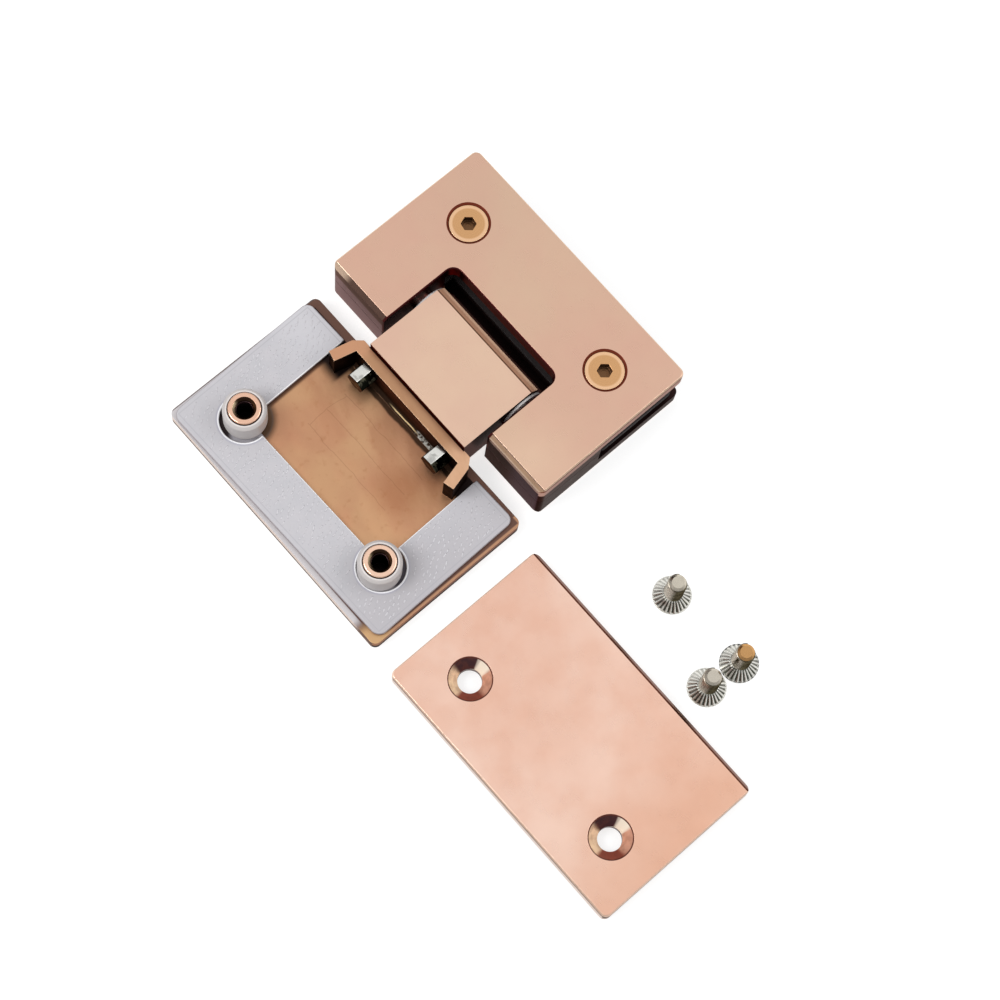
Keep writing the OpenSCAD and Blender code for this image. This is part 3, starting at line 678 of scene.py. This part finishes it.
def post_copper(leaf, x, spacing):
    """Turned copper of the posts of a leaf, with painted shade in their threaded bores."""
    f = Finish(f"{leaf}_post_copper")
    mouth_brown, mouth_light, mouth_dark = (84, 58, 40), (230, 206, 170), (60, 42, 32)
    lit_lower_ring, ring_line, side_brown = (255, 218, 194), (226, 172, 142), (120, 78, 58)
    bore_brown, deep_dark = (62, 44, 46), (34, 24, 28)
    mouth_reach, bore_start, deep_start, side_start = 3.7, 0.95, 3, 4.2
    radians_per_mm = 11
    out = f.from_holes(x, 0, spacing)
    turned = 0.5 + 0.5 * (out * radians_per_mm).sine()
    depth = box_mm(f"{leaf}_post_upper")[1].z - f.z
    # Painted light and shade on the bore mouths by direction, painted shade deeper in the bores and
    # on the sides, and the lower posts' ring painted lighter
    mouth = f.layers(
        mouth_brown,
        (f.over(f.toward(LIGHT_FROM), 0.5, 0.2), mouth_light),
        (f.over(f.toward(DARK_FROM + 180), 0.4, 0.2), mouth_dark))
    color = f.layers(
        f.blend(f.over(f.y, 0), lit_lower_ring, COPPER_RING),
        (0.3 * turned, ring_line),
        (f.under(f.nz, 0.96, 0.02) * f.under(out, mouth_reach), mouth),
        (f.over(depth, bore_start), bore_brown),
        (f.over(depth, deep_start, 1), deep_dark),
        (f.under(f.nz, 0.5) * f.over(out, side_start), side_brown))
    return f.surface(
        Base_Color=color, Metallic=1.0, Roughness=0.22 + 0.12 * turned,
        Normal=f.bump(turned, 0.006, 0.3))


def bolt_nickel():
    """Hex bolts with a painted highlight on the top facet and painted shade on the sides, smeared."""
    f = Finish("bolt_nickel")
    top_white, top_grey = (244, 243, 238), (150, 150, 146)
    facet_dark, facet_grey = (24, 26, 20), (112, 110, 92)
    end_dark, end_grey = (30, 30, 26), (92, 90, 78)
    smear = f.span(f.noise(1.6, stretch=(1, 2, 1)), 0.46, 0.62)
    color = f.layers(
        f.blend(smear, facet_dark, facet_grey),
        (f.over(-f.nx, 0.5), f.blend(smear, end_dark, end_grey)),
        (f.over(f.nz, 0.85), f.blend(0.55 * smear, top_white, top_grey)))
    return f.surface(
        Base_Color=color, Metallic=1.0, Roughness=0.18 + 0.15 * smear,
        Specular_Tint=display(EDGE_TINT), Normal=f.bump(smear, 0.02, 0.3))


def screw_nickel(node, tip_tone):
    """A cover screw of tarnished nickel, with painted shade in the rib grooves and on the shank."""
    f = Finish(f"{node}_nickel")
    tarnished, groove_dark, lit_shank = (214, 213, 206), (66, 68, 58), (210, 202, 188)
    shank_shade, shank_deep_shade = (92, 86, 68), (62, 56, 42)
    ribs, rib_foot, shank_start, tip_length, shade_from = 26, 0.35, 3.3, 0.9, -118
    screw = middle(node)
    groove = f.under((f.around(screw.x, screw.y) * ribs + math.pi / 2).sine(), 0.1, 0.5)
    tarnish = f.span(f.noise(2.2, detail=4), 0.42, 0.7)
    tip = f.over(f.z, box_mm(node)[1].z - tip_length) * f.over(f.nz, 0.6)
    shank = f.over(f.z, shank_start, 0.15)
    lit = f.over(f.toward(LIGHT_FROM + 180), 0.35, 0.3)
    below = f.over(f.along(shade_from, screw.x, screw.y), 0, 3.5)
    # Painted shade in the rib grooves, most below, and painted shade and painted light on the shank
    color = f.layers(
        f.blend(0.4 * tarnish, NICKEL_BRIGHT, tarnished),
        ((0.4 + 0.55 * below) * groove * f.over(f.z, rib_foot), groove_dark),
        (shank, f.blend(tarnish, shank_shade, shank_deep_shade)),
        (shank * lit, lit_shank),
        (tip, f.blend(0.4 * tarnish, tip_tone, [0.8 * c for c in tip_tone])))
    return f.surface(
        Base_Color=color, Metallic=1.0, Roughness=0.2 + 0.16 * tarnish,
        Specular_Tint=display(EDGE_TINT), Normal=f.bump(tarnish, 0.02, 0.3))


def plain_nickel():
    """Bright nickel of the pin and the plungers, with a little tarnish."""
    f = Finish("plain_nickel")
    tarnish = f.span(f.noise(2.2, detail=4), 0.45, 0.8)
    grain = f.noise(0.2, detail=2)
    return f.surface(
        Base_Color=f.blend(0.35 * tarnish, NICKEL_BRIGHT, NICKEL_SHADE), Metallic=1.0,
        Roughness=0.16 + 0.12 * tarnish, Normal=f.bump(grain, 0.004, 0.25))


def drawn_wire():
    """Drawn steel wire of the springs."""
    f = Finish("spring_wire")
    drawn = f.noise(0.3, stretch=(4, 1, 1))
    return f.surface(
        Base_Color=f.blend(drawn, WIRE_GREY, WIRE_SHADE), Metallic=1.0,
        Roughness=0.3 + 0.1 * drawn, Normal=f.bump(drawn, 0.004, 0.3))


def gasket_sheet(node, turn, hole_x, hole_y):
    """Pale soft sheet with clouds, a faint line along its edge, and painted highlights and shade."""
    f = Finish(f"{node}_sheet")
    pivot_grey, near_grey, hole_shade = (202, 201, 206), (162, 158, 162), (158, 158, 172)
    hole_highlight, line_grey, rim_highlight = (238, 238, 242), (152, 150, 156), (240, 240, 242)
    rim_grey, side_grey = (166, 162, 166), (150, 138, 142)
    shade_radius, white_radius, line_in, line_out = 8.1, 7.65, 1.45, 1.2
    clouds = f.noise(6)
    fine = f.noise(0.5, detail=2, stretch=(1, 3, 1), turn=0.4)
    edge = f.inside_edge(node, turn)
    slope = f.band(f.nz, 0.3, 0.97, 0.02)
    near = f.under(f.along(90, 0, box_mm(node)[0].y), 14, 12)
    hole = f.from_holes(hole_x, hole_y, 2 * middle("fixed_post_upper").y, turn)
    # Painted highlights at the hole edges and on the rims, painted shade round the holes, on the
    # outer rim and on the sides
    color = f.layers(
        GASKET_TOP,
        (clouds, GASKET_SHADE),
        (0.25 * fine, GASKET_FLECK),
        (0.5 * f.over(f.x, 12, 8), pivot_grey),
        (0.5 * near, near_grey),
        (0.6 * f.under(hole, shade_radius, 0.3), hole_shade),
        (f.under(hole, white_radius), hole_highlight),
        (0.45 * f.band(edge, line_out, line_in, 0.1), line_grey),
        (slope, rim_highlight),
        (slope * f.under(edge, 1), rim_grey),
        (f.under(f.nz, 0.3), side_grey))
    return f.surface(
        Base_Color=color, Roughness=0.42 + 0.1 * clouds, Specular_IOR_Level=0.45,
        Normal=f.bump(fine, 0.02, 0.4))


def gasket_fleck():
    """Embossed flecks whose lighter tops are a painted highlight."""
    f = Finish("gasket_fleck")
    tone = f.blend(f.noise(5, detail=2), GASKET_FLECK, GASKET_TOP)
    return f.surface(Base_Color=tone, Roughness=0.34, Specular_IOR_Level=0.5)


def moulded(name, color, rough):
    """Plain moulded plastic with a faintly pebbled skin and painted shade on its slopes."""
    f = Finish(name)
    slope_shade, skin_tone = ([share * c for c in color] for share in (0.9, 0.86))
    skin = f.noise(0.8)
    level = f.over(abs(f.nz), 0.93, 0.04)
    tone = f.layers(slope_shade, (level, color), (0.25 * skin, skin_tone))
    return f.surface(
        Base_Color=tone, Roughness=rough + 0.1 * skin, Normal=f.bump(skin, 0.01, 0.25))


def studio_floor(name):
    """White floor that keeps soft shadows and shows white in metal."""
    f = Finish(name)
    seen = [f.node("ShaderNodeLightPath", out=f"Is {ray} Ray")
            for ray in ("Camera", "Glossy", "Transmission")]
    shown = seen[0].highest(seen[1]).highest(seen[2])
    paper_grey, glow_strength = 0.4, 0.7
    paper = f.node("ShaderNodeBsdfDiffuse", inputs={"Color": (paper_grey, paper_grey, paper_grey, 1)})
    glow = f.node("ShaderNodeEmission", inputs={"Strength": glow_strength * shown})
    both = f.node("ShaderNodeAddShader", inputs=(paper, glow))
    f.node("ShaderNodeOutputMaterial", inputs={"Surface": both})
    return f.material


def link(name, mesh):
    """A new object in the scene."""
    made = bpy.data.objects.new(name, mesh)
    bpy.context.scene.collection.objects.link(made)
    return made


def plain_mesh(piece):
    """Turns a piece with modifiers into a plain mesh and drops the modifiers."""
    graph = bpy.context.evaluated_depsgraph_get()
    done = bpy.data.meshes.new_from_object(piece.evaluated_get(graph))
    piece.modifiers.clear()
    piece.data = done
    return piece


def outward(piece):
    """Points the faces of a closed piece outwards."""
    shell = bmesh.new()
    shell.from_mesh(piece.data)
    bmesh.ops.recalc_face_normals(shell, faces=shell.faces)
    shell.to_mesh(piece.data)
    shell.free()
    return piece


def merged(node):
    """A copy of a solid's mesh, and its editable shell with the seams of its faces joined."""
    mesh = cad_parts[node].data.copy()
    mesh.materials.clear()
    shell = bmesh.new()
    shell.from_mesh(mesh)
    bmesh.ops.remove_doubles(shell, verts=shell.verts, dist=SEAM)
    return mesh, shell


def rounded(node, material, width, name=None):
    """A copy of a solid with its flat faces joined and its edges rounded by width mm."""
    mesh, shell = merged(node)
    mesh.materials.append(material)
    bmesh.ops.dissolve_limit(
        shell, angle_limit=FLAT_ANGLE, verts=shell.verts, edges=shell.edges)
    shell.to_mesh(mesh)
    shell.free()
    mesh.shade_smooth()
    piece = link(name or f"{node}_finished", mesh)
    bevel = piece.modifiers.new("edges", "BEVEL")
    bevel.width = width * MM
    bevel.segments = 2
    bevel.limit_method = "ANGLE"
    bevel.angle_limit = EDGE_ANGLE
    normals = piece.modifiers.new("faces", "WEIGHTED_NORMAL")
    normals.keep_sharp = False
    return plain_mesh(piece)


def settle(piece, node, body):
    """Puts a finished piece in the place of its solid."""
    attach(piece, body)
    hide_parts(node)
    return piece


def finish_solid(node, material, width, body):
    """Dresses a solid whose edges alone are rounded, by width millimetres."""
    return settle(rounded(node, material, width), node, body)


def socket_of(group, name):
    """The identifier of a node group's input."""
    return next(i.identifier for i in group.interface.items_tree
                if i.item_type == "SOCKET" and i.in_out == "INPUT" and i.name == name)


def new_group(name, inputs):
    """A geometry node group with these inputs, and its filler."""
    group = bpy.data.node_groups.new(name, "GeometryNodeTree")
    group.interface.new_socket("Geometry", in_out="INPUT", socket_type="NodeSocketGeometry")
    for label, kind in inputs.items():
        group.interface.new_socket(label, in_out="INPUT", socket_type=kind)
    group.interface.new_socket("Geometry", in_out="OUTPUT", socket_type="NodeSocketGeometry")
    return group, Tree(group)


def run_group(piece, group, values):
    """Runs a geometry node group on a piece and keeps the result as its mesh."""
    modifier = piece.modifiers.new(group.name, "NODES")
    modifier.node_group = group
    for name, value in values.items():
        modifier[socket_of(group, name)] = value
    return plain_mesh(piece)


def thread_group():
    """Node group of a helical thread ridge that climbs along +Z."""
    number = "NodeSocketFloat"
    group, t = new_group("thread", {
        "Radius": number, "Pitch": number, "Height": number, "Ridge": number,
        "Material": "NodeSocketMaterial"})
    given = {name: t.node("NodeGroupInput", out=name)
             for name in ("Radius", "Pitch", "Height", "Ridge", "Material")}
    spiral = t.node("GeometryNodeCurveSpiral", inputs={
        "Resolution": 40, "Rotations": given["Height"] / given["Pitch"],
        "Start Radius": given["Radius"], "End Radius": given["Radius"],
        "Height": given["Height"]})
    upright = t.node("GeometryNodeSetCurveNormal", {"mode": "Z_UP"}, {"Curve": spiral})
    ridge = t.node("GeometryNodeCurvePrimitiveCircle", inputs={
        "Resolution": 4, "Radius": given["Ridge"]})
    swept = t.node("GeometryNodeCurveToMesh", inputs={
        "Curve": upright, "Profile Curve": ridge, "Fill Caps": True})
    whole = t.node("GeometryNodeRealizeInstances", inputs={"Geometry": swept})
    coated = t.node("GeometryNodeSetMaterial", inputs={
        "Geometry": whole, "Material": given["Material"]})
    t.node("NodeGroupOutput", inputs={"Geometry": coated})
    return group


def fleck_group():
    """Node group that scatters short slanting flecks over a sheet."""
    number = "NodeSocketFloat"
    names = ("Geometry", "Spacing", "Length", "Width", "Height", "Angle", "Material")
    group, t = new_group("flecks", {
        "Spacing": number, "Length": number, "Width": number, "Height": number,
        "Angle": number, "Material": "NodeSocketMaterial"})
    given = {name: t.node("NodeGroupInput", out=name) for name in names}
    points = t.node("GeometryNodeDistributePointsOnFaces", {
        "distribute_method": "POISSON"}, {
        "Mesh": given["Geometry"], "Distance Min": given["Spacing"],
        "Density Max": 1.5 / (given["Spacing"] * given["Spacing"]), "Seed": 7})
    fleck = t.node("GeometryNodeMeshUVSphere", inputs={
        "Segments": 8, "Rings": 4, "Radius": 1.0})

    def random(low, high, seed):
        return t.node("FunctionNodeRandomValue", {"data_type": "FLOAT"}, {
            2: low, 3: high, "Seed": seed}, 1)

    turn = t.node("ShaderNodeCombineXYZ", inputs={"Z": given["Angle"] + random(-0.3, 0.3, 1)})
    size = t.node("ShaderNodeCombineXYZ", inputs={
        "X": given["Length"] * random(0.6, 1.3, 2),
        "Y": given["Width"] * random(0.7, 1.2, 3), "Z": given["Height"]})
    spread = t.node("GeometryNodeInstanceOnPoints", inputs={
        "Points": points, "Instance": fleck, "Rotation": turn, "Scale": size})
    whole = t.node("GeometryNodeRealizeInstances", inputs={"Geometry": spread})
    smooth = t.node("GeometryNodeSetShadeSmooth", inputs={"Geometry": whole})
    coated = t.node("GeometryNodeSetMaterial", inputs={
        "Geometry": smooth, "Material": given["Material"]})
    t.node("NodeGroupOutput", inputs={"Geometry": coated})
    return group


def thread(name, material, at, radius, height, ridge):
    """A helical thread ridge whose foot is at a place in millimetres."""
    piece = link(name, bpy.data.meshes.new(name))
    run_group(piece, THREAD, {
        "Radius": radius * MM, "Pitch": THREAD_PITCH * MM, "Height": height * MM,
        "Ridge": ridge * MM, "Material": material})
    piece.data.transform(Matrix.Translation(Vector(at) * MM))
    return outward(piece)


def join(target, *others):
    """Joins other pieces' meshes into the target's, with their materials."""
    slots = target.data.materials
    whole = bmesh.new()
    whole.from_mesh(target.data)
    for piece in others:
        material = next(m for m in piece.data.materials if m)
        if material.name not in slots:
            slots.append(material)
        first = len(whole.faces)
        whole.from_mesh(piece.data)
        whole.faces.ensure_lookup_table()
        for face in whole.faces[first:]:
            face.material_index = slots.find(material.name)
    whole.to_mesh(target.data)
    whole.free()
    for piece in others:
        bpy.data.objects.remove(piece)
    return target


def inner_top(node, inset):
    """The upward face of a flat solid, drawn in by inset millimetres."""
    mesh, shell = merged(node)
    under = [face for face in shell.faces if face.normal.z < 0.9]
    bmesh.ops.delete(shell, geom=under, context="FACES")
    rim = bmesh.ops.inset_region(
        shell, faces=shell.faces[:], thickness=inset * MM, use_even_offset=True,
        use_boundary=True)
    bmesh.ops.delete(shell, geom=rim["faces"], context="FACES")
    shell.to_mesh(mesh)
    shell.free()
    return link(f"{node}_flecks", mesh)


def gasket(node, body, turn, hole_x, hole_y):
    """A gasket with rounded edges and embossed flecks on its upper face."""
    sheet = rounded(node, gasket_sheet(node, turn, hole_x, hole_y), width=0.4)
    flecks = run_group(inner_top(node, inset=2.1), FLECKS, {
        "Spacing": 1.25 * MM, "Length": 0.75 * MM, "Width": 0.22 * MM, "Height": 0.03 * MM,
        "Angle": math.radians(24), "Material": FLECK_TONE})
    return settle(join(sheet, flecks), node, body)


def post(node, body, material):
    """A turned post with a thread in its bore."""
    thread_foot = 4.9
    turned = rounded(node, material, width=0.12)
    center = middle(node)
    ridge = thread(
        f"{node}_thread", material, (center.x, center.y, thread_foot), radius=2.62, height=9.0,
        ridge=0.42)
    return settle(join(turned, ridge), node, body)


def head_only(node, material, top, width):
    """The head of a screw that stands on it: its solid up to a height in millimetres."""
    piece = rounded(node, material, width, f"{node}_head")
    shell = bmesh.new()
    shell.from_mesh(piece.data)
    everything = shell.verts[:] + shell.edges[:] + shell.faces[:]
    cut = bmesh.ops.bisect_plane(
        shell, geom=everything, plane_co=(0, 0, top * MM), plane_no=(0, 0, 1),
        clear_outer=True)
    rim = [e for e in cut["geom_cut"] if isinstance(e, bmesh.types.BMEdge)]
    bmesh.ops.holes_fill(shell, edges=rim)
    shell.to_mesh(piece.data)
    shell.free()
    return piece


def core(name, material, at, radius, low, high, bevel):
    """A round rod along Z with a bevelled upper end."""
    profile = [(0, low), (radius, low), (radius, high - bevel), (radius - bevel, high), (0, high)]
    shell = bmesh.new()
    ring = [shell.verts.new(((at[0] + r) * MM, at[1] * MM, z * MM)) for r, z in profile]
    edges = [shell.edges.new(pair) for pair in zip(ring, ring[1:])]
    bmesh.ops.spin(
        shell, geom=ring + edges, cent=(at[0] * MM, at[1] * MM, 0), axis=(0, 0, 1),
        angle=math.tau, steps=48, use_merge=True)
    bmesh.ops.remove_doubles(shell, verts=shell.verts, dist=SEAM)
    bmesh.ops.recalc_face_normals(shell, faces=shell.faces)
    mesh = bpy.data.meshes.new(name)
    shell.to_mesh(mesh)
    shell.free()
    mesh.materials.append(material)
    mesh.set_sharp_from_angle(angle=SHARP_ANGLE)
    return link(name, mesh)


def loose_screw(node, material):
    """A cover screw on its head, with a ribbed cone and a threaded shank."""
    head_top, core_foot, thread_foot, thread_shorter_by = 3.2, 2.6, 3.4, 4.6
    at = middle(node)
    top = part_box(node)[1].z / MM
    head = head_only(node, material, head_top, width=0.05)
    shank = core(
        f"{node}_shank", material, (at.x, at.y), radius=2.45, low=core_foot, high=top, bevel=0.7)
    ridge = thread(
        f"{node}_thread", material, (at.x, at.y, thread_foot), radius=2.4,
        height=top - thread_shorter_by, ridge=0.4)
    return settle(join(head, shank, ridge), node, FIXED)


def studio():
    """Pale floor, area lamps, and a world that is brighter overhead and white to the camera."""
    level, overhead = 0.35, 0.85
    bpy.ops.mesh.primitive_plane_add(size=6, location=(0, 0, -0.02 * MM))
    floor = bpy.context.object
    floor.name = "studio_floor"
    floor.data.materials.append(studio_floor("floor_paper"))
    world = bpy.data.worlds.new("studio_world")
    bpy.context.scene.world = world
    world.use_nodes = True
    sky = Tree(world.node_tree)
    world.node_tree.nodes.clear()
    toward = sky.node("ShaderNodeTexCoord", out="Generated")
    height = sky.node("ShaderNodeSeparateXYZ", inputs=(toward,), out="Z")
    lift = sky.node("ShaderNodeMapRange", {"interpolation_type": "SMOOTHSTEP"}, {
        0: height, 1: 0.0, 2: 0.9, 3: level, 4: overhead})
    seen = sky.node("ShaderNodeLightPath", out="Is Camera Ray")
    glow = sky.node("ShaderNodeBackground", inputs={
        "Color": (1, 1, 1, 1), "Strength": lift.highest(seen)})
    sky.node("ShaderNodeOutputWorld", inputs={"Surface": glow})
    lamp("key_lamp", at=(-0.55, 0.25, 0.75), size=0.5, power=5.0)
    lamp("fill_lamp", at=(0.6, -0.5, 0.7), size=0.7, power=3.0)


def lamp(name, at, size, power):
    """A square soft lamp that faces the hinge."""
    data = bpy.data.lights.new(name, "AREA")
    data.size = size
    data.energy = power
    made = link(name, data)
    made.location = at
    made.rotation_euler = (CAMERA_AIM - Vector(at)).to_track_quat("-Z", "Y").to_euler()


def camera():
    """The photograph's camera."""
    data = bpy.data.cameras.new("camera")
    data.lens = CAMERA_LENS
    data.sensor_width = 36
    data.clip_start = 0.01
    made = link("camera", data)
    toward = (CAMERA_AIM - CAMERA_AT).to_track_quat("-Z", "Y").to_matrix().to_4x4()
    made.matrix_world = (
        Matrix.Translation(CAMERA_AT) @ toward @ Matrix.Rotation(CAMERA_ROLL, 4, "Z"))
    bpy.context.scene.camera = made


camera()
studio()
bpy.context.scene.view_settings.view_transform = "Standard"

THREAD = thread_group()
FLECKS = fleck_group()

FLECK_TONE = gasket_fleck()

inner_nickel = plain_nickel()
head_nickel = bolt_nickel()
door_screw_gold = screw_gold()
slot_rubber_painted_shade = moulded("rubber_shade_dark", RUBBER_PAINTED_SHADE, rough=0.5)
pale_sleeve = moulded("pale_sleeve", SLEEVE_BODY, rough=0.38)
white_washer = moulded("white_washer", WASHER_WHITE, rough=0.3)
spring_wire = drawn_wire()

finish_solid("fixed_base_plate", leaf_copper(), 0.15, FIXED)
finish_solid("pivot_block", block_gold(), 0.15, FIXED)
finish_solid("door_front_plate", front_gold(), 0.3, DOOR)
finish_solid("door_back_plate", back_gold(), 0.12, DOOR)
finish_solid("cover_plate", cover_gold(), 0.12, FIXED)
finish_solid("pivot_pin", inner_nickel, 0.1, DOOR)
gasket("fixed_gasket", FIXED, GASKET_TURN, middle("fixed_post_upper").x + GASKET_OFF_X,
       GASKET_OFF_Y)
gasket("cover_gasket", FIXED, 0, box_mm("cover_plate")[0].x + COVER_HOLE_EDGE,
       middle("cover_plate").y)
# The door's gaskets, in rubber painted dark as the shade of the glass slot
for side in ("back", "front"):
    finish_solid(f"door_{side}_gasket", slot_rubber_painted_shade, 0.25, DOOR)
for leaf, body in (("fixed", FIXED), ("door", DOOR)):
    upper = middle(f"{leaf}_post_upper")
    copper = post_copper(leaf, upper.x, 2 * upper.y)
    for end in ("upper", "lower"):
        post(f"{leaf}_post_{end}", body, copper)
        finish_solid(f"{leaf}_sleeve_{end}", pale_sleeve, 0.2, body)
for end in ("upper", "lower"):
    finish_solid(f"block_bolt_{end}", head_nickel, 0.2, FIXED)
    finish_solid(f"pivot_washer_{end}", white_washer, 0.15, DOOR)
    finish_solid(f"door_screw_{end}", door_screw_gold, 0.08, DOOR)
    finish_solid(f"plunger_{end}", inner_nickel, 0.1, f"{end}_plunger")
    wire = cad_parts[f"plunger_spring_{end}"].data.materials
    wire.clear()
    wire.append(spring_wire)
for number, tip_tone in enumerate(TIP_TONES, start=1):
    screw = f"cover_screw_{number}"
    loose_screw(screw, screw_nickel(screw, tip_tone))
